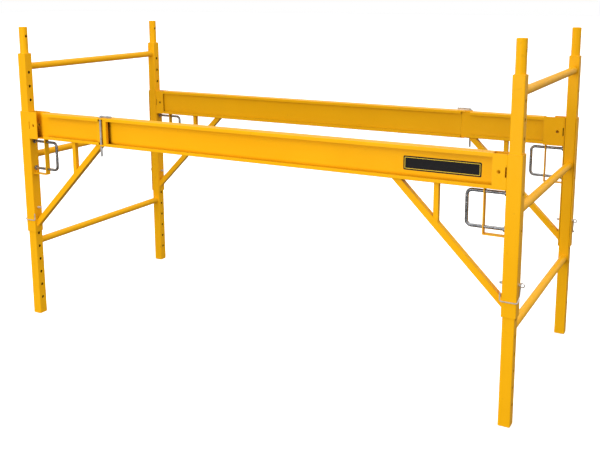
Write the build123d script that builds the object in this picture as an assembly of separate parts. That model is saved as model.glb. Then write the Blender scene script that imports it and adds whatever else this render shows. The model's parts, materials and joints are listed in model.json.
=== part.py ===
from build123d import *
import os

os.makedirs("parts", exist_ok=True)

# Driving dimensions, in millimetres. X runs along the rails, Y from front to rear, Z up from the floor.
POST_SPAN_X = 1810.0
POST_SPAN_Y = 744.0
POST_SIZE = 35.0
POST_WALL = 2.0
POST_CORNER = 3.0
POST_HEIGHT = 995.0
HOLE_D = 11.0
HOLE_PITCH = 50.8
HOLE_FIRST = 62.5
SPIGOT_D = 30.0
SPIGOT_WALL = 2.6
SPIGOT_RISE = 96.0
SPIGOT_PLUG = 46.0
RUNG_D = 25.4
RUNG_WALL = 1.8
RUNG_LOW_Z = 282.0
RUNG_MID_Z = 617.0
RUNG_TOP_DROP = 48.0
SLEEVE_LENGTH = 458.0
SLEEVE_SHEET = 3.0
SLEEVE_SIDE_GAP = 0.5
SLEEVE_BEND = 2.5
BEAM_HEIGHT = 100.0
BEAM_WIDTH = 40.0
BEAM_SHEET = 2.5
BEAM_LIP = 11.0
BEAM_WEB_DEPTH = 29.0
BEAM_TOP_OVER_LATCH = 111.0
EAR_LENGTH = 39.5
EAR_SHEET = 3.0
EAR_HOLE_D = 10.0
EAR_HOLE_REACH = 21.5
EAR_SLOT_HEIGHT = 28.0
EAR_SLOT_WIDTH = 4.0
ARM_REACH = 368.0
ARM_WINDOW = 30.0
BRACE_SIZE = 20.0
BRACE_WALL = 1.8
BRACE_LEG = 338.0
BRACE_INSET = 3.0
STRUT_SIZE = 15.0
STRUT_WALL = 1.6
STRUT_REACH = 201.0
LATCH_ROD_D = 10.0
LATCH_REACH = 112.0
LATCH_BEND = 14.0
LATCH_COLLAR_D = 17.0
LATCH_COLLAR_LENGTH = 6.0
STRAP_REACH = 64.0
STRAP_WIDTH = 20.0
STRAP_SHEET = 3.0
STRAP_DROP = 134.0
LOCK_PIN_D = 8.0
LOCK_WIRE_D = 3.5
LOCK_EYE_D = 12.0
LOCK_DROP = 47.0
LOCK_HOOK = 26.0
DROP_PIN_D = 7.5
DROP_PIN_BELOW = 37.0
DROP_PIN_HANDLE = 50.0
DROP_PIN_BEND = 5.0
DROP_PIN_STOP_D = 12.0
DROP_PIN_STOP = 2.0
DROP_PIN_INSET = 6.5
DROP_PIN_FROM_ARM_END = 27.0
PIN_GUARD_REACH = 22.0
PIN_GUARD_ROOM = 1.0
RUN_GAP = 0.08
REST_GAP = 0.3

# Which of the post's holes, counted from the bottom, take the pins.
LATCH_LOW_HOLE = 10
LATCH_HIGH_HOLE = 12
LOCK_HOLE = 7

hole_count = int((POST_HEIGHT - SPIGOT_PLUG - HOLE_FIRST) / HOLE_PITCH) + 1
post_x = POST_SPAN_X / 2
post_y = POST_SPAN_Y / 2
half = POST_SIZE / 2


def hole_z(index):
    """Height of one of the post's holes."""
    return HOLE_FIRST + HOLE_PITCH * index


latch_low = hole_z(LATCH_LOW_HOLE)
latch_high = hole_z(LATCH_HIGH_HOLE)
lock_z = hole_z(LOCK_HOLE)
beam_top = latch_high + BEAM_TOP_OVER_LATCH
beam_bottom = beam_top - BEAM_HEIGHT
beam_mid = beam_top - BEAM_HEIGHT / 2
sleeve_bottom = beam_top - SLEEVE_LENGTH
sleeve_half = half + SLEEVE_SIDE_GAP + SLEEVE_SHEET
inner_x = post_x - sleeve_half
outer_x = post_x + sleeve_half
front_y = -post_y - half - SLEEVE_SHEET
back_y = front_y + BEAM_WIDTH
web_y = front_y + BEAM_WEB_DEPTH


def block(x0, x1, y0, y1, z0, z1):
    """A plain box between two corners."""
    return Pos((x0 + x1) / 2, (y0 + y1) / 2, (z0 + z1) / 2) * Box(abs(x1 - x0), abs(y1 - y0), abs(z1 - z0))


def rod_x(x0, x1, y, z, d):
    """A round bar along X."""
    return Pos((x0 + x1) / 2, y, z) * Rot(0, 90, 0) * Cylinder(d / 2, abs(x1 - x0))


def rod_y(x, y0, y1, z, d):
    """A round bar along Y."""
    return Pos(x, (y0 + y1) / 2, z) * Rot(90, 0, 0) * Cylinder(d / 2, abs(y1 - y0))


def rod_z(x, y, z0, z1, d):
    """A round bar along Z."""
    return Pos(x, y, (z0 + z1) / 2) * Cylinder(d / 2, abs(z1 - z0))


def bent_rod(points, d, bend):
    """A round bar that follows straight runs with a bend of one radius at each corner."""
    path = FilletPolyline(*points, radius=bend)
    start = Vector(*points[0])
    section = Plane(origin=start, z_dir=Vector(*points[1]) - start) * Circle(d / 2)
    return sweep(section, path=path)


def edges_at(solid, axis, **at):
    """Straight edges along an axis whose midpoints have the given coordinates."""
    found = []
    for e in solid.edges().filter_by(axis):
        c = e.center()
        if all(abs(getattr(c, k.upper()) - v) < 1e-3 for k, v in at.items()):
            found.append(e)
    return found


def post(y):
    """A square tube with a row of holes through its two X walls, at the left end."""
    outer = extrude(RectangleRounded(POST_SIZE, POST_SIZE, POST_CORNER), POST_HEIGHT)
    bore = POST_SIZE - 2 * POST_WALL
    tube = outer - extrude(RectangleRounded(bore, bore, POST_CORNER / 3), POST_HEIGHT)
    for i in range(hole_count):
        tube -= rod_x(-POST_SIZE, POST_SIZE, 0, hole_z(i), HOLE_D)
    return Pos(-post_x, y, 0) * tube


def spigot(y):
    """A round stub with a square plug in the post's top; a pin hole matches the next frame's lowest hole."""
    top = POST_HEIGHT + SPIGOT_RISE
    low = POST_HEIGHT - SPIGOT_PLUG
    bore = POST_SIZE - 2 * POST_WALL
    stub = rod_z(0, 0, low, top, SPIGOT_D)
    rim = stub.edges().group_by(Axis.Z)[-1]
    stub = chamfer(rim, SPIGOT_WALL / 2)
    plug = Pos(0, 0, low) * extrude(RectangleRounded(bore, bore, POST_CORNER / 3), SPIGOT_PLUG)
    stub += plug
    stub -= rod_z(0, 0, low - 1, top + 1, SPIGOT_D - 2 * SPIGOT_WALL)
    stub -= rod_x(-POST_SIZE, POST_SIZE, 0, POST_HEIGHT + HOLE_FIRST, HOLE_D)
    return Pos(-post_x, y, 0) * stub


def rung(z):
    """A round tube between the two posts of the left end frame."""
    y = post_y - half
    return rod_y(-post_x, -y, y, z, RUNG_D) - rod_y(-post_x, -y, y, z, RUNG_D - 2 * RUNG_WALL)


def sleeve():
    """A channel that grips the post from outside and stays open towards the rungs."""
    depth = POST_SIZE + SLEEVE_SHEET
    body = block(inner_x, outer_x, front_y, front_y + depth, sleeve_bottom, beam_top)
    for x in (inner_x, outer_x):
        body = fillet(edges_at(body, Axis.Z, x=x, y=front_y), SLEEVE_BEND)
    body -= block(
        inner_x + SLEEVE_SHEET,
        outer_x - SLEEVE_SHEET,
        front_y + SLEEVE_SHEET,
        front_y + depth + 1,
        sleeve_bottom - 1,
        beam_top + 1,
    )
    for z in (latch_low, latch_high):
        body -= rod_x(inner_x - 1, outer_x + 1, -post_y, z, LATCH_ROD_D + 2 * RUN_GAP)
    body -= rod_x(inner_x - 1, outer_x + 1, -post_y, lock_z, LOCK_PIN_D + 2 * RUN_GAP)
    return body


def lipped_beam(x0, x1, z0, z1):
    """A web with a top and a bottom flange whose long edges turn in as lips."""
    t = BEAM_SHEET
    beam = block(x0, x1, front_y, back_y, z1 - t, z1) + block(x0, x1, front_y, back_y, z0, z0 + t)
    for y in (front_y, back_y - t):
        beam += block(x0, x1, y, y + t, z1 - BEAM_LIP, z1)
        beam += block(x0, x1, y, y + t, z0, z0 + BEAM_LIP)
    beam += block(x0, x1, web_y, web_y + t, z0, z1)
    for y in (front_y, back_y):
        for z in (z0, z1):
            beam = fillet(edges_at(beam, Axis.X, y=y, z=z), t * 0.8)
    return beam


arm_end = -(inner_x - ARM_REACH)
pin_x = arm_end - DROP_PIN_FROM_ARM_END
pin_y = front_y + DROP_PIN_INSET
arm_top = beam_top - BEAM_SHEET
arm_bottom = beam_bottom + BEAM_SHEET
lips_start = arm_end - DROP_PIN_FROM_ARM_END / 2
tongue_start = pin_x - DROP_PIN_D / 2 - BEAM_SHEET
ear_hole_x = inner_x - EAR_HOLE_REACH


def drop_pin_hole():
    """The bore for the drop pin, through both flanges of the rail and of the arm."""
    return rod_z(pin_x, pin_y, beam_bottom - 1, beam_top + 1, DROP_PIN_D + 2 * RUN_GAP)


def main_beam():
    """The long rail, with tongues that straddle the arm and a web and bottom flange that reach the sleeve."""
    t = BEAM_SHEET
    ear_x = inner_x - EAR_LENGTH
    beam = lipped_beam(lips_start, ear_x, beam_bottom, beam_top)
    beam += block(ear_x - 1, inner_x, web_y, web_y + t, beam_bottom, beam_top)
    beam += block(ear_x, inner_x, front_y + EAR_SHEET, back_y - EAR_SHEET, beam_bottom, beam_bottom + t)
    beam -= block(lips_start - 1, arm_end + REST_GAP, front_y - 1, back_y + 1, arm_bottom, arm_top)
    for z in (beam_bottom, beam_top - t):
        beam += block(tongue_start, lips_start + 1, front_y, web_y, z, z + t)
    beam -= drop_pin_hole()
    return beam - rod_y(ear_hole_x, web_y - 1, web_y + t + 1, beam_mid, EAR_HOLE_D)


def arm():
    """The short end of the rail, nested between the long rail's flanges, with a folded box behind the drop pin."""
    t = BEAM_SHEET
    start = -(inner_x - EAR_LENGTH - ARM_WINDOW)
    lip_end = tongue_start - REST_GAP
    body = lipped_beam(start, lip_end, arm_bottom, arm_top)
    for z in (arm_bottom, arm_top - t):
        body += block(lip_end - 1, arm_end, front_y, web_y + t, z, z + t)
    body += block(lip_end - 1, arm_end, web_y, web_y + t, arm_bottom, arm_top)
    body += block(-inner_x, start + 1, web_y, web_y + t, arm_bottom, arm_top)
    body += block(-inner_x, start, front_y + EAR_SHEET, back_y - EAR_SHEET, arm_bottom, arm_bottom + t)
    face = front_y + t
    guard_x = pin_x - PIN_GUARD_REACH
    guard_y = pin_y + DROP_PIN_D / 2 + PIN_GUARD_ROOM
    body += block(lips_start, arm_end, face, face + t, arm_bottom, arm_top)
    body += block(arm_end - t, arm_end, face, guard_y + t, arm_bottom, arm_top)
    body += block(guard_x, arm_end, guard_y, guard_y + t, arm_bottom, arm_top)
    body += block(guard_x, guard_x + t, guard_y, web_y, arm_bottom, arm_top)
    body -= drop_pin_hole()
    return body - rod_y(-ear_hole_x, web_y - 1, web_y + t + 1, beam_mid, EAR_HOLE_D)


def ear(x_beam, y0):
    """A drilled plate that carries the rail's end onto the sleeve, with a slot at the joint."""
    plate = block(x_beam, inner_x, y0, y0 + EAR_SHEET, beam_bottom, beam_top)
    slot = block(
        inner_x - EAR_SLOT_WIDTH,
        inner_x + 1,
        y0 - 1,
        y0 + EAR_SHEET + 1,
        beam_mid - EAR_SLOT_HEIGHT / 2,
        beam_mid + EAR_SLOT_HEIGHT / 2,
    )
    return plate - slot - rod_y(ear_hole_x, y0 - 1, y0 + EAR_SHEET + 1, beam_mid, EAR_HOLE_D)


brace_y = -post_y + BRACE_INSET


def slanted(offset, width, top):
    """Outline in XZ of a strip at 45 degrees, cut flat under the rail and upright at the sleeve."""
    foot = beam_bottom - BRACE_LEG
    rise = width * 2**0.5
    low = foot + offset * 2**0.5
    corners = [
        (inner_x, low),
        (inner_x, low + rise),
        (inner_x - (top - low - rise), top),
        (inner_x - (top - low), top),
    ]
    return make_face(Polyline(*corners, close=True))


def brace(top, clear_x):
    """A square tube at 45 degrees from the sleeve's foot to the rail, cut upright at clear_x."""
    frame = Plane(origin=(0, brace_y + BRACE_SIZE / 2, 0), x_dir=(1, 0, 0), z_dir=(0, -1, 0))
    outer = extrude(frame * slanted(0, BRACE_SIZE, top), BRACE_SIZE)
    inner_frame = frame.offset(BRACE_WALL)
    inner = extrude(
        inner_frame * slanted(BRACE_WALL, BRACE_SIZE - 2 * BRACE_WALL, top), BRACE_SIZE - 2 * BRACE_WALL
    )
    size = BRACE_SIZE
    low = beam_bottom - BRACE_LEG
    end = block(clear_x - BRACE_LEG, clear_x, brace_y - size, brace_y + size, low, top + 1)
    return outer - inner - end


def strut(top):
    """A short upright tube between the rail and the brace."""
    s = STRUT_SIZE / 2
    x = inner_x - STRUT_REACH
    foot = beam_bottom - BRACE_LEG + BRACE_SIZE * 2**0.5
    wall = STRUT_WALL
    tube = block(x - s, x + s, brace_y - s, brace_y + s, foot, top)
    tube -= block(x - s + wall, x + s - wall, brace_y - s + wall, brace_y + s - wall, foot - 1, top + 1)
    frame = Plane(origin=(0, brace_y + BRACE_SIZE, 0), x_dir=(1, 0, 0), z_dir=(0, -1, 0))
    far = 2 * STRUT_REACH
    below = Polyline((inner_x, foot), (inner_x - far, foot + far), (inner_x - far, foot - 1), close=True)
    return tube - extrude(frame * make_face(below), 2 * BRACE_SIZE)


def strap(top):
    """A bent flat bar from the rail's underside to the sleeve that guides the latch's two legs."""
    x = inner_x - STRAP_REACH
    y = STRAP_WIDTH / 2
    low = beam_bottom - STRAP_DROP
    bar = block(x, x + STRAP_SHEET, -post_y - y, -post_y + y, low, top)
    bar += block(x, inner_x, -post_y - y, -post_y + y, low, low + STRAP_SHEET)
    bar = fillet(edges_at(bar, Axis.Y, x=x, z=low), STRAP_SHEET * 0.9)
    for z in (latch_low, latch_high):
        bar -= rod_x(x - 1, x + STRAP_SHEET + 1, -post_y, z, LATCH_ROD_D + 2 * RUN_GAP)
    return bar


def latch():
    """A bent round bar whose two legs lock the sleeve to the post."""
    tip = outer_x - SLEEVE_SHEET / 2
    grip = inner_x - LATCH_REACH
    y = -post_y
    points = [(tip, y, latch_high), (grip, y, latch_high), (grip, y, latch_low), (tip, y, latch_low)]
    return bent_rod(points, LATCH_ROD_D, LATCH_BEND)


def latch_collars():
    """Two stop collars on the latch's legs that rest on the sleeve."""
    rings = []
    for z in (latch_low, latch_high):
        start = inner_x - LATCH_COLLAR_LENGTH
        collar = rod_x(start, inner_x, -post_y, z, LATCH_COLLAR_D)
        rings.append(collar - rod_x(start, inner_x, -post_y, z, LATCH_ROD_D))
    return Compound(children=[r.solid() for r in rings])


eye_x = outer_x + LOCK_EYE_D / 2 + LOCK_WIRE_D


def lock_pin():
    """A plain pin through the sleeve and post below the latch, bored across its head for the wire."""
    tip = inner_x - 1.5 * LOCK_PIN_D
    pin = rod_x(tip, eye_x - LOCK_EYE_D / 4, -post_y, lock_z, LOCK_PIN_D)
    pin = chamfer(pin.edges().group_by(Axis.X)[0], LOCK_PIN_D / 5)
    return pin - lock_wire()


def lock_wire():
    """The pin's wire: an eye at the pin's head, then a leg that hangs and crosses the sleeve's face."""
    r = LOCK_EYE_D / 2
    wire = LOCK_WIRE_D
    eye = Pos(eye_x, -post_y, lock_z) * Rot(90, 0, 0) * Torus(r, wire / 2)
    face = front_y - wire / 2 - 2 * REST_GAP
    side = outer_x + wire
    foot = lock_z - LOCK_DROP
    hook_x = inner_x - wire
    start = (eye_x - r * 0.8, -post_y, lock_z - r * 0.6)
    points = [
        start,
        (side, -post_y, lock_z - LOCK_DROP * 0.7),
        (side, face, foot),
        (hook_x, face, foot),
        (hook_x, face, foot + LOCK_HOOK),
    ]
    return eye + bent_rod(points, wire, wire * 1.6)


def drop_pin():
    """A bent pin that drops through the rail and the arm, with a stop that rests on the rail's top."""
    handle_z = beam_top + DROP_PIN_BEND + REST_GAP
    points = [
        (pin_x, pin_y, beam_bottom - DROP_PIN_BELOW),
        (pin_x, pin_y, handle_z),
        (pin_x + DROP_PIN_HANDLE, pin_y, handle_z),
    ]
    stop = rod_z(pin_x, pin_y, beam_top, beam_top + DROP_PIN_STOP, DROP_PIN_STOP_D)
    return bent_rod(points, DROP_PIN_D, DROP_PIN_BEND) + stop


def flipped(shape):
    """The same piece at the front rail's other end."""
    return mirror(shape, Plane.YZ)


def turned(shape):
    """The same piece half a turn about the upright axis."""
    return Rot(0, 0, 180) * shape


nodes = {}


def both_ends(name_front, name_rear, shape):
    """Keep a piece and its half-turned twin."""
    nodes[name_front] = shape
    nodes[name_rear] = turned(shape)


both_ends("post_fl", "post_rr", post(-post_y))
both_ends("post_rl", "post_fr", post(post_y))
both_ends("spigot_fl", "spigot_rr", spigot(-post_y))
both_ends("spigot_rl", "spigot_fr", spigot(post_y))
both_ends("rung_low_left", "rung_low_right", rung(RUNG_LOW_Z))
both_ends("rung_mid_left", "rung_mid_right", rung(RUNG_MID_Z))
both_ends("rung_top_left", "rung_top_right", rung(POST_HEIGHT - RUNG_TOP_DROP))
both_ends("beam_front", "beam_rear", main_beam())
both_ends("arm_front", "arm_rear", arm())
both_ends("drop_pin_front", "drop_pin_rear", drop_pin())

beam_ear_x = inner_x - EAR_LENGTH
arm_inner_ear_x = beam_ear_x - ARM_WINDOW
both_ends("ear_out_fr", "ear_out_rl", ear(beam_ear_x, front_y))
both_ends("ear_in_fr", "ear_in_rl", ear(beam_ear_x, back_y - EAR_SHEET))
both_ends("ear_out_fl", "ear_out_rr", flipped(ear(beam_ear_x, front_y)))
both_ends("ear_in_fl", "ear_in_rr", flipped(ear(arm_inner_ear_x, back_y - EAR_SHEET)))

pieces = (
    ("sleeve", sleeve(), sleeve()),
    ("brace", brace(beam_bottom, inner_x - 2 * BRACE_LEG), brace(arm_bottom, REST_GAP - tongue_start)),
    ("strut", strut(beam_bottom), strut(arm_bottom)),
    ("strap", strap(beam_bottom), strap(arm_bottom)),
    ("latch", latch(), latch()),
    ("collars", latch_collars(), latch_collars()),
    ("lock_pin", lock_pin(), lock_pin()),
    ("lock_wire", lock_wire(), lock_wire()),
)
for name, at_beam, at_arm in pieces:
    both_ends(name + "_fr", name + "_rl", at_beam)
    both_ends(name + "_fl", name + "_rr", flipped(at_arm))

for name, shape in nodes.items():
    export_step(shape, "parts/" + name + ".step")
print(len(nodes), "nodes")
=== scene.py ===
import bpy
import json
import math
from mathutils import Matrix, Vector


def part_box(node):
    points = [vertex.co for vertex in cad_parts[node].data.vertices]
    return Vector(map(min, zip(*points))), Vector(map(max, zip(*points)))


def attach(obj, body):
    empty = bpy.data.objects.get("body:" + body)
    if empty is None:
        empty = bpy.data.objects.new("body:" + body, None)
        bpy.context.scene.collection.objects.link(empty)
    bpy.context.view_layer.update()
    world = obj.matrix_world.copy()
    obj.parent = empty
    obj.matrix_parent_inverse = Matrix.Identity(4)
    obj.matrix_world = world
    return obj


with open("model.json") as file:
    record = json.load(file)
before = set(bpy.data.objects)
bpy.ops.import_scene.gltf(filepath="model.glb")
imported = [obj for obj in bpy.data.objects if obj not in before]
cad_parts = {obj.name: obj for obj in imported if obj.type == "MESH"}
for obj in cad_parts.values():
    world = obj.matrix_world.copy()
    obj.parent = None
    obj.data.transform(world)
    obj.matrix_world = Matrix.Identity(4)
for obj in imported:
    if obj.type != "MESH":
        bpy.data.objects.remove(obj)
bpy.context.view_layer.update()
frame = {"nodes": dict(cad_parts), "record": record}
nodes = frame["nodes"]
record = frame["record"]

# Camera, in metres and radians: where it stands, where it looks and the lens for a 600 pixel wide frame.
CAMERA_PLACE = (1.4427, -2.5635, 1.2069)
CAMERA_AZIMUTH = -0.5009
CAMERA_DOWN = 0.1835
CAMERA_ROLL = -0.0035
FOCAL_PIXELS = 830.3
FRAME_WIDTH = 600
SENSOR_WIDTH = 36.0
SHIFT_UP = -0.14

# Powder coat. Colours are linear, lengths are in metres and noise scales are per metre.
COAT_LIGHT = (0.97, 0.480, 0.006)
COAT_DEEP = (0.90, 0.420, 0.004)
# Painted highlight: a lighter yellow laid along sharp edges.
COAT_EDGE_HIGHLIGHT = (1.00, 0.560, 0.040)
COAT_SCUFF = (0.52, 0.200, 0.010)
# Painted shade: near black deep inside the tubes, dark brown in the pockets, slots and creases of the other
# parts.
COAT_TUBE_SHADE = (0.030, 0.014, 0.004)
COAT_POCKET_SHADE = (0.260, 0.095, 0.004)
COAT_TINT = (1.0, 0.80, 0.40, 1)
COAT_SHINE = 0.28
COAT_SMOOTH, COAT_ROUGH = 0.28, 0.40
COAT_EDGE_RADIUS = 0.0009
COAT_EDGE_HIGHLIGHT_SHARE = 0.55
COAT_SCUFF_SHARE = 0.22
MOTTLE_SCALE = 7.0
SCUFF_SCALE, SCUFF_DETAIL = 55.0, 9.0
SCUFF_FROM, SCUFF_FULL = 0.66, 0.74
SHEEN_SCALE, SHEEN_DETAIL = 38.0, 4.0
PEEL_SCALE, PEEL_DETAIL = 620.0, 2.0
PEEL_DEPTH, PEEL_STRENGTH = 0.0004, 0.18
# Reach and limits of the mask that lays the painted shade.
SHADE_REACH = 0.045
SHADE_DEEP, SHADE_OPEN = 0.14, 0.36
TUBES = ("post_", "spigot_")

# Plated steel.
BAR_LIGHT = (0.66, 0.67, 0.69)
BAR_DARK = (0.34, 0.345, 0.36)
BAR_METAL = 1.0
BAR_SMOOTH, BAR_ROUGH = 0.16, 0.30
PIN_LIGHT = (0.76, 0.755, 0.74)
PIN_DARK = (0.50, 0.495, 0.49)
PIN_METAL = 0.6
PIN_SMOOTH, PIN_ROUGH = 0.28, 0.44
PLATE_EDGE_RADIUS = 0.0008
CLOUD_SCALE, CLOUD_DETAIL = 70.0, 5.0
CLOUD_DARK, CLOUD_LIGHT = 0.35, 0.65
SATIN_SCALE, SATIN_DETAIL = 140.0, 5.0
PITTING_SCALE, PITTING_DETAIL = 420.0, 3.0
PITTING_DEPTH, PITTING_STRENGTH = 0.0003, 0.10

# Printed vinyl of the label.
LABEL_BLACK = (0.012, 0.012, 0.013)
LABEL_YELLOW = (0.92, 0.62, 0.060)
LABEL_BLACK_ROUGH = 0.30
LABEL_YELLOW_ROUGH = 0.34
LABEL_ROUGH_SPREAD = 0.1
LABEL_SHINE = 0.08
PRINT_SCALE, PRINT_DETAIL = 130.0, 4.0
PRINT_GAIN, PRINT_LIFT = 1.25, 0.004
VINYL_SCALE = 210.0
GRAIN_SCALE, GRAIN_DETAIL = 900.0, 2.0
GRAIN_DEPTH, GRAIN_STRENGTH = 0.0002, 0.08

# Values shared by the materials.
PLAIN_DETAIL = 3.0
NOISE_LOW, NOISE_HIGH = 0.3, 0.7
EDGE_SAMPLES = 6
EDGE_FLAT, EDGE_SHARP = 1.0, 0.72
SHADE_SAMPLES = 12

# Weld beads, in metres, and the slot in the end plates that they leave free.
BEAD = 0.0030
SMALL_BEAD = 0.0021
RIPPLE_PITCH = 0.0042
RIPPLE_DEPTH = 0.22
RIPPLE_STEPS = 3
FEWEST_STEPS = 4
BEAD_SIDES = 8
BEAD_END = 0.55
BEAD_SUNK = 0.6
SPIGOT_RADIUS = 0.015
EAR_SLOT_HALF = 0.016

# The bare label on the front rail's web, in metres along X and Z.
LABEL_LEFT = 0.5780
LABEL_RIGHT = 0.8080
LABEL_LOW = 0.7065
LABEL_HIGH = 0.7480
LABEL_CORNER = 0.0040
LABEL_CORNER_STEPS = 6
LABEL_THICK = 0.0004
LINE_INSET = 0.0040
LINE_WIDTH = 0.0014
LINE_THICK = 0.0001
WEB_DEPTH = 0.029

# Floor, in metres.
FLOOR_WHITE = (0.96, 0.96, 0.96)
FLOOR_CLOUD = (0.9456, 0.9456, 0.9456)
FLOOR_CLOUD_SCALE = 1.5
FLOOR_ROUGH = 0.75
FLOOR_GLOW = 0.42
FLOOR_HALF = 40.0
FLOOR_DROP = 0.0005
WHITE = (1.0, 1.0, 1.0, 1)

# Surround: its light rises from low to high between two heights of a direction; the backdrop is what the
# camera sees.
AMBIENT_LOW, AMBIENT_HIGH = 0.14, 0.60
AMBIENT_FROM, AMBIENT_TO = -0.25, 0.55
BACKDROP = 1.0

# Lights: suns with a direction, a spread in degrees and a strength, and soft boxes in metres and watts.
TOP_SUN = {"towards": (-0.1, -0.15, -1.0), "spread": 70, "strength": 1.25, "shines": True}
BACK_SUN = {"towards": (0.05, -0.88, -0.20), "spread": 50, "strength": 1.35, "shines": False}
SIDE_SUN = {"towards": (-1.0, 0.10, -0.25), "spread": 55, "strength": 0.78, "shines": False}
LEFT_SUN = {"towards": (1.0, 0.05, -0.25), "spread": 55, "strength": 0.80, "shines": False}
KEY_BOX = {"place": (-0.9, -4.4, 2.7), "target": (0, -0.2, 0.6), "size": 1.8, "power": 54, "shines": False}
FRONT_PLACE, FRONT_TARGET = (-0.1, -4.3, 0.75), (0.2, -0.2, 0.65)
FRONT_BOX = {"place": FRONT_PLACE, "target": FRONT_TARGET, "size": 1.3, "power": 58, "shines": False}
GLINT_BOX = {"place": FRONT_PLACE, "target": FRONT_TARGET, "size": 1.6, "power": 25, "shines": True}


class Graph:
    """A material's node tree, with short calls to add and join nodes."""

    def __init__(self, name):
        self.material = bpy.data.materials.new(name)
        self.material.use_nodes = True
        self.tree = self.material.node_tree
        self.shader = self.tree.nodes["Principled BSDF"]
        self.place = self.add("ShaderNodeTexCoord").outputs["Object"]

    def add(self, kind, **values):
        """A new node with some of its properties set."""
        node = self.tree.nodes.new(kind)
        for name, value in values.items():
            setattr(node, name, value)
        return node

    def join(self, source, target):
        self.tree.links.new(source, target)

    def feed(self, source, name):
        """Joins an output to an input of the shader."""
        self.join(source, self.shader.inputs[name])

    def set(self, **values):
        """Plain values for inputs of the shader."""
        for name, value in values.items():
            self.shader.inputs[name.replace("_", " ")].default_value = value

    def noise(self, scale, detail=PLAIN_DETAIL):
        node = self.add("ShaderNodeTexNoise")
        node.inputs["Scale"].default_value = scale
        node.inputs["Detail"].default_value = detail
        self.join(self.place, node.inputs["Vector"])
        return node.outputs["Fac"]

    def span(self, source, low, high, to_low=0.0, to_high=1.0):
        """Maps one range of values to another."""
        node = self.add("ShaderNodeMapRange")
        for socket, value in zip(node.inputs[1:5], (low, high, to_low, to_high)):
            socket.default_value = value
        self.join(source, node.inputs["Value"])
        return node.outputs["Result"]

    def scaled(self, source, share):
        node = self.add("ShaderNodeMath", operation="MULTIPLY")
        self.join(source, node.inputs[0])
        node.inputs[1].default_value = share
        return node.outputs["Value"]

    def blend(self, factor, first, second):
        """Mixes two colours, each a plain colour or an output of a node."""
        node = self.add("ShaderNodeMix", data_type="RGBA")
        self.join(factor, node.inputs["Factor"])
        colour_inputs = [s for s in node.inputs if s.type == "RGBA"]
        for socket, colour in zip(colour_inputs, (first, second)):
            if isinstance(colour, tuple):
                socket.default_value = (*colour, 1)
            else:
                self.join(colour, socket)
        return [s for s in node.outputs if s.type == "RGBA"][0]

    def edge(self, radius):
        """One at sharp edges and zero on flat faces, and the normal that rounds those edges."""
        rounded = self.add("ShaderNodeBevel", samples=EDGE_SAMPLES)
        rounded.inputs["Radius"].default_value = radius
        flat = self.add("ShaderNodeNewGeometry").outputs["Normal"]
        dot = self.add("ShaderNodeVectorMath", operation="DOT_PRODUCT")
        self.join(rounded.outputs["Normal"], dot.inputs[0])
        self.join(flat, dot.inputs[1])
        return self.span(dot.outputs["Value"], EDGE_FLAT, EDGE_SHARP), rounded.outputs["Normal"]

    def openness(self, reach, low, high):
        """Zero deep inside tubes and slots, one where the surface lies open: the mask for painted shade."""
        node = self.add("ShaderNodeAmbientOcclusion", samples=SHADE_SAMPLES)
        node.inputs["Distance"].default_value = reach
        return self.span(node.outputs["AO"], low, high)

    def bump(self, height, distance, strength, normal=None):
        """Raises the surface by a height, on top of a normal if one is given."""
        node = self.add("ShaderNodeBump")
        node.inputs["Distance"].default_value = distance
        node.inputs["Strength"].default_value = strength
        self.join(height, node.inputs["Height"])
        if normal is not None:
            self.join(normal, node.inputs["Normal"])
        self.feed(node.outputs["Normal"], "Normal")


def powder_coat(name, inside):
    """Yellow powder coat: faint mottling, a painted highlight on sharp edges, a few scuffs, orange peel and
    painted shade deep inside.
    """
    g = Graph(name)
    colour = g.blend(g.noise(MOTTLE_SCALE), COAT_DEEP, COAT_LIGHT)
    edge, rounded = g.edge(COAT_EDGE_RADIUS)
    # Painted highlight along sharp edges.
    colour = g.blend(g.scaled(edge, COAT_EDGE_HIGHLIGHT_SHARE), colour, COAT_EDGE_HIGHLIGHT)
    scuff = g.span(g.noise(SCUFF_SCALE, SCUFF_DETAIL), SCUFF_FROM, SCUFF_FULL)
    colour = g.blend(g.scaled(scuff, COAT_SCUFF_SHARE), colour, COAT_SCUFF)
    # Painted shade: the given dark colour deep inside tubes and slots and in creases, where the coat lies in
    # shadow.
    colour = g.blend(g.openness(SHADE_REACH, SHADE_DEEP, SHADE_OPEN), inside, colour)
    g.feed(colour, "Base Color")
    sheen = g.noise(SHEEN_SCALE, SHEEN_DETAIL)
    g.feed(g.span(sheen, NOISE_LOW, NOISE_HIGH, COAT_SMOOTH, COAT_ROUGH), "Roughness")
    g.set(Specular_IOR_Level=COAT_SHINE, Specular_Tint=COAT_TINT)
    g.bump(g.noise(PEEL_SCALE, PEEL_DETAIL), PEEL_DEPTH, PEEL_STRENGTH, rounded)
    return g.material


def plated(name, light, dark, metal, smooth, rough):
    """Zinc-plated steel: a cloudy tone, fine pitting and a satin gloss."""
    g = Graph(name)
    cloud = g.span(g.noise(CLOUD_SCALE, CLOUD_DETAIL), CLOUD_DARK, CLOUD_LIGHT)
    g.feed(g.blend(cloud, dark, light), "Base Color")
    satin = g.noise(SATIN_SCALE, SATIN_DETAIL)
    g.feed(g.span(satin, NOISE_LOW, NOISE_HIGH, smooth, rough), "Roughness")
    g.set(Metallic=metal)
    rounded = g.edge(PLATE_EDGE_RADIUS)[1]
    g.bump(g.noise(PITTING_SCALE, PITTING_DETAIL), PITTING_DEPTH, PITTING_STRENGTH, rounded)
    return g.material


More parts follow.
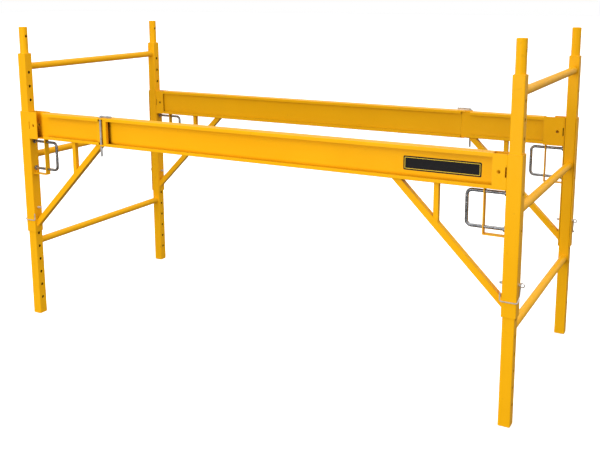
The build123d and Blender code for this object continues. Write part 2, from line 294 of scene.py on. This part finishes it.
def label_face(name, colour, rough):
    """Printed vinyl with a faint grain."""
    g = Graph(name)
    lighter = tuple(min(1.0, c * PRINT_GAIN + PRINT_LIFT) for c in colour)
    g.feed(g.blend(g.noise(PRINT_SCALE, PRINT_DETAIL), colour, lighter), "Base Color")
    vinyl = g.noise(VINYL_SCALE)
    g.feed(g.span(vinyl, NOISE_LOW, NOISE_HIGH, rough, rough + LABEL_ROUGH_SPREAD), "Roughness")
    g.set(Specular_IOR_Level=LABEL_SHINE)
    g.bump(g.noise(GRAIN_SCALE, GRAIN_DETAIL), GRAIN_DEPTH, GRAIN_STRENGTH)
    return g.material


COAT = powder_coat("yellow_powder_coat", COAT_POCKET_SHADE)
TUBE_COAT = powder_coat("yellow_tube_coat", COAT_TUBE_SHADE)
BAR = plated("bright_zinc_bar", BAR_LIGHT, BAR_DARK, BAR_METAL, BAR_SMOOTH, BAR_ROUGH)
PIN = plated("dull_zinc_pin", PIN_LIGHT, PIN_DARK, PIN_METAL, PIN_SMOOTH, PIN_ROUGH)
BY_SLOT = {"yellow_coat": COAT, "plated_latch": BAR, "plated_pin": PIN}

for entry in record["subparts"]:
    mesh = nodes[entry["node"]].data
    mesh.materials.clear()
    tube = entry["node"].startswith(TUBES)
    mesh.materials.append(TUBE_COAT if tube else BY_SLOT[entry["material_slot"]])


def add_piece(name, vertices, faces, material, smooth=True):
    """A mesh piece with a given material that rides on the frame."""
    mesh = bpy.data.meshes.new(name)
    mesh.from_pydata([tuple(v) for v in vertices], [], faces)
    mesh.validate()
    mesh.materials.append(material)
    for polygon in mesh.polygons:
        polygon.use_smooth = smooth
    piece = bpy.data.objects.new(name, mesh)
    bpy.context.scene.collection.objects.link(piece)
    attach(piece, "frame")


class Beads:
    """Collects rippled weld beads into one mesh."""

    def __init__(self):
        self.vertices = []
        self.faces = []

    def sweep(self, path, radius, closed):
        """A rippled tube along a path of points, either straight or a flat ring."""
        first = len(self.vertices)
        count = len(path)
        length = 0.0
        onward = path[1] - path[0]
        side = onward.cross(path[2] - path[1]) if closed else onward.orthogonal()
        side.normalize()
        for i, point in enumerate(path):
            ahead = path[(i + 1) % count] if closed or i + 1 < count else point
            behind = path[i - 1] if closed or i > 0 else point
            along = (ahead - behind).normalized()
            up = along.cross(side)
            if i:
                length += (point - path[i - 1]).length
            swell = radius * (1 - RIPPLE_DEPTH * abs(math.sin(math.pi * length / RIPPLE_PITCH)))
            if not closed and i in (0, count - 1):
                swell *= BEAD_END
            for k in range(BEAD_SIDES):
                turn = 2 * math.pi * k / BEAD_SIDES
                self.vertices.append(point + side * (swell * math.cos(turn)) + up * (swell * math.sin(turn)))
        for i in range(count if closed else count - 1):
            a = first + i * BEAD_SIDES
            b = first + ((i + 1) % count) * BEAD_SIDES
            for k in range(BEAD_SIDES):
                j = (k + 1) % BEAD_SIDES
                self.faces.append((a + k, a + j, b + j, b + k))
        if not closed:
            self.faces.append(tuple(range(first + BEAD_SIDES - 1, first - 1, -1)))
            last = first + (count - 1) * BEAD_SIDES
            self.faces.append(tuple(range(last, last + BEAD_SIDES)))

    def line(self, start, end, radius=BEAD):
        """A straight bead."""
        a, b = Vector(start), Vector(end)
        steps = max(FEWEST_STEPS, round((b - a).length / RIPPLE_PITCH * RIPPLE_STEPS))
        self.sweep([a.lerp(b, i / steps) for i in range(steps + 1)], radius, False)

    def ring(self, centre, axis, ring_radius, radius=BEAD):
        """A bead all round a tube."""
        axis = Vector(axis)
        u = axis.orthogonal().normalized() * ring_radius
        v = axis.cross(u)
        steps = round(2 * math.pi * ring_radius / RIPPLE_PITCH) * RIPPLE_STEPS
        turns = [2 * math.pi * i / steps for i in range(steps)]
        self.sweep([Vector(centre) + u * math.cos(t) + v * math.sin(t) for t in turns], radius, True)

    def outline(self, corners, radius=BEAD):
        """Straight beads from corner to corner and back to the first."""
        for a, b in zip(corners, corners[1:] + corners[:1]):
            self.line(a, b, radius)

    def mirrored(self, sx, sy):
        """The beads at another corner of the frame."""
        turn = Matrix.Diagonal((sx, sy, 1))
        points = [turn @ v for v in self.vertices]
        faces = self.faces if sx * sy > 0 else [tuple(reversed(f)) for f in self.faces]
        return points, faces


def around(first, second):
    """The four corners of a rectangle, in order, from its two ranges."""
    return [(first[0], second[0]), (first[1], second[0]), (first[1], second[1]), (first[0], second[1])]


def end_frame_beads(side):
    """Beads round the rungs and spigots of one ladder end."""
    beads = Beads()
    for level in ("low", "mid", "top"):
        low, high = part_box("rung_" + level + "_" + side)
        centre = (low + high) / 2
        radius = (high.z - low.z) / 2
        for y in (low.y, high.y):
            beads.ring((centre.x, y, centre.z), (0, 1, 0), radius)
    for row in ("f", "r"):
        low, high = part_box("post_" + row + side[0])
        middle = (low + high) / 2
        beads.ring((middle.x, middle.y, high.z), (0, 0, 1), SPIGOT_RADIUS, SMALL_BEAD)
    add_piece("welds_end_" + side, beads.vertices, beads.faces, COAT)


def corner_beads(corner):
    """Beads where the brace, strut, strap and ears of one corner are welded."""
    sx = -1 if corner[1] == "l" else 1
    sy = -1 if corner[0] == "f" else 1
    beads = Beads()

    def reach(node):
        """A node's box, turned so that the post stands at +X and the outside at +Y."""
        low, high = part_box(node + "_" + corner)
        xs = sorted((low.x * sx, high.x * sx))
        ys = sorted((low.y * sy, high.y * sy))
        return xs, ys, (low.z, high.z)

    # The brace's foot on the sleeve and its top under the rail; the brace stands at 45 degrees.
    sleeve_x = reach("sleeve")[0][0]
    brace_x, brace_y, (foot, top) = reach("brace")
    rise = (brace_y[1] - brace_y[0]) * math.sqrt(2)
    beads.outline([(sleeve_x, y, z) for y, z in around(brace_y, (foot, foot + rise))])
    inner_top = sleeve_x - (top - foot - rise)
    for y in brace_y:
        beads.line((brace_x[0], y, top), (inner_top, y, top))
    beads.line((inner_top, brace_y[0], top), (inner_top, brace_y[1], top))

    # The strut's ends, under the rail and on the brace.
    strut_x, strut_y, strut_z = reach("strut")
    corners = around(strut_x, strut_y)
    beads.outline([(x, y, strut_z[1]) for x, y in corners], SMALL_BEAD)
    beads.outline([(x, y, foot + rise + sleeve_x - x) for x, y in corners], SMALL_BEAD)

    # The strap's ends, under the rail and on the sleeve.
    strap_x, strap_y, strap_z = reach("strap")
    beads.line((strap_x[0], strap_y[0], strap_z[1]), (strap_x[0], strap_y[1], strap_z[1]), SMALL_BEAD)
    beads.line((sleeve_x, strap_y[0], strap_z[0]), (sleeve_x, strap_y[1], strap_z[0]), SMALL_BEAD)

    # The end plates along the sleeve, above and below their slot.
    ear_low, ear_high = reach("ear_out")[2]
    middle = (ear_low + ear_high) / 2
    out_y = reach("ear_out")[1][1] - SMALL_BEAD * BEAD_SUNK
    in_y = reach("ear_in")[1][0] + BEAD
    for low, high in ((ear_low, middle - EAR_SLOT_HALF), (middle + EAR_SLOT_HALF, ear_high)):
        for y in (out_y, in_y):
            beads.line((sleeve_x, y, low + BEAD), (sleeve_x, y, high - BEAD), SMALL_BEAD)

    points, faces = beads.mirrored(sx, sy)
    add_piece("welds_corner_" + corner, points, faces, COAT)


for side in ("left", "right"):
    end_frame_beads(side)
for corner in ("fl", "fr", "rl", "rr"):
    corner_beads(corner)


def rounded_outline(inset):
    """Points of X and Z round the label, a given distance inside its edge."""
    corner = LABEL_CORNER - inset / 2
    left, right = LABEL_LEFT + inset + corner, LABEL_RIGHT - inset - corner
    low, high = LABEL_LOW + inset + corner, LABEL_HIGH - inset - corner
    points = []
    for quarter, (x, z) in enumerate(((right, high), (left, high), (left, low), (right, low))):
        for i in range(LABEL_CORNER_STEPS + 1):
            turn = math.pi / 2 * (quarter + i / LABEL_CORNER_STEPS)
            points.append((x + corner * math.cos(turn), z + corner * math.sin(turn)))
    return points


def skin(loops, closed):
    """Vertices and faces of a skin over loops of points; an open skin gets flat ends."""
    count = len(loops[0])
    vertices = [point for loop in loops for point in loop]
    faces = []
    for a in range(len(loops) if closed else len(loops) - 1):
        b = (a + 1) % len(loops)
        for i in range(count):
            j = (i + 1) % count
            faces.append((a * count + i, a * count + j, b * count + j, b * count + i))
    if not closed:
        faces.append(tuple(range(count - 1, -1, -1)))
        faces.append(tuple(range(len(vertices) - count, len(vertices))))
    return vertices, faces


def label():
    """A bare label on the front rail's web: black vinyl with a plain yellow line inside its edge."""
    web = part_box("beam_front")[0].y + WEB_DEPTH
    face = web - LABEL_THICK
    proud = face - LINE_THICK
    outer, inner = LINE_INSET, LINE_INSET + LINE_WIDTH

    def loop(inset, y):
        return [(x, y, z) for x, z in rounded_outline(inset)]

    plate = skin([loop(0, web), loop(0, face)], False)
    line = skin([loop(outer, face), loop(outer, proud), loop(inner, proud), loop(inner, face)], True)
    black = label_face("label_black", LABEL_BLACK, LABEL_BLACK_ROUGH)
    yellow = label_face("label_yellow", LABEL_YELLOW, LABEL_YELLOW_ROUGH)
    add_piece("label_plate", *plate, black, smooth=False)
    add_piece("label_line", *line, yellow, smooth=False)


label()


def floor():
    """A pale sheet that takes soft shadows and throws no light back on the object."""
    corners = [(x, y, 0) for x, y in around((-FLOOR_HALF, FLOOR_HALF), (-FLOOR_HALF, FLOOR_HALF))]
    mesh = bpy.data.meshes.new("floor")
    mesh.from_pydata(corners, [], [(0, 1, 2, 3)])
    g = Graph("pale_floor")
    g.feed(g.blend(g.noise(FLOOR_CLOUD_SCALE), FLOOR_WHITE, FLOOR_CLOUD), "Base Color")
    g.set(Roughness=FLOOR_ROUGH, Emission_Color=WHITE, Emission_Strength=FLOOR_GLOW)
    mesh.materials.append(g.material)
    sheet = bpy.data.objects.new("floor", mesh)
    sheet.location.z = -FLOOR_DROP
    sheet.visible_glossy = False
    sheet.visible_diffuse = False
    bpy.context.scene.collection.objects.link(sheet)


floor()


def add_lamp(name, data, direction, shines):
    """A lamp that points in a direction; one that doesn't shine makes no highlights."""
    lamp = bpy.data.objects.new(name, data)
    lamp.visible_glossy = shines
    lamp.rotation_euler = Vector(direction).to_track_quat("-Z", "Y").to_euler()
    bpy.context.scene.collection.objects.link(lamp)
    return lamp


def sun(name, towards, spread, strength, shines):
    """A wide soft light from one side."""
    data = bpy.data.lights.new(name, "SUN")
    data.angle = math.radians(spread)
    data.energy = strength
    add_lamp(name, data, towards, shines)


def soft_box(name, place, target, size, power, shines):
    """A square lamp that faces a target."""
    data = bpy.data.lights.new(name, "AREA")
    data.size = size
    data.energy = power
    lamp = add_lamp(name, data, Vector(target) - Vector(place), shines)
    lamp.location = place


sun("top", **TOP_SUN)
sun("back", **BACK_SUN)
sun("side", **SIDE_SUN)
sun("left", **LEFT_SUN)
soft_box("key", **KEY_BOX)
soft_box("front", **FRONT_BOX)
soft_box("glint", **GLINT_BOX)


def studio_world():
    """A white backdrop; as a light, the surround is dim below and brighter above."""
    world = bpy.data.worlds.new("studio")
    bpy.context.scene.world = world
    world.use_nodes = True
    tree = world.node_tree
    background = tree.nodes["Background"]
    background.inputs["Color"].default_value = WHITE
    direction = tree.nodes.new("ShaderNodeTexCoord")
    height = tree.nodes.new("ShaderNodeSeparateXYZ")
    ambient = tree.nodes.new("ShaderNodeMapRange")
    for socket, value in zip(ambient.inputs[1:5], (AMBIENT_FROM, AMBIENT_TO, AMBIENT_LOW, AMBIENT_HIGH)):
        socket.default_value = value
    ray = tree.nodes.new("ShaderNodeLightPath")
    level = tree.nodes.new("ShaderNodeMapRange")
    level.inputs["To Max"].default_value = BACKDROP
    tree.links.new(direction.outputs["Generated"], height.inputs["Vector"])
    tree.links.new(height.outputs["Z"], ambient.inputs["Value"])
    tree.links.new(ambient.outputs["Result"], level.inputs["To Min"])
    tree.links.new(ray.outputs["Is Camera Ray"], level.inputs["Value"])
    tree.links.new(level.outputs["Result"], background.inputs["Strength"])


studio_world()
bpy.context.scene.view_settings.view_transform = "Standard"


def camera():
    """The photo's camera, with less shift."""
    data = bpy.data.cameras.new("camera")
    data.sensor_width = SENSOR_WIDTH
    data.lens = FOCAL_PIXELS / FRAME_WIDTH * SENSOR_WIDTH
    data.shift_y = SHIFT_UP
    ahead = Vector((
        math.sin(CAMERA_AZIMUTH) * math.cos(CAMERA_DOWN),
        math.cos(CAMERA_AZIMUTH) * math.cos(CAMERA_DOWN),
        -math.sin(CAMERA_DOWN),
    ))
    right = Vector((math.cos(CAMERA_AZIMUTH), -math.sin(CAMERA_AZIMUTH), 0))
    up = right.cross(ahead)
    turned_right = right * math.cos(CAMERA_ROLL) + up * math.sin(CAMERA_ROLL)
    turned_up = up * math.cos(CAMERA_ROLL) - right * math.sin(CAMERA_ROLL)
    rotation = Matrix((turned_right, turned_up, -ahead)).transposed().to_4x4()
    holder = bpy.data.objects.new("camera", data)
    holder.matrix_world = Matrix.Translation(CAMERA_PLACE) @ rotation
    bpy.context.scene.collection.objects.link(holder)
    bpy.context.scene.camera = holder


camera()
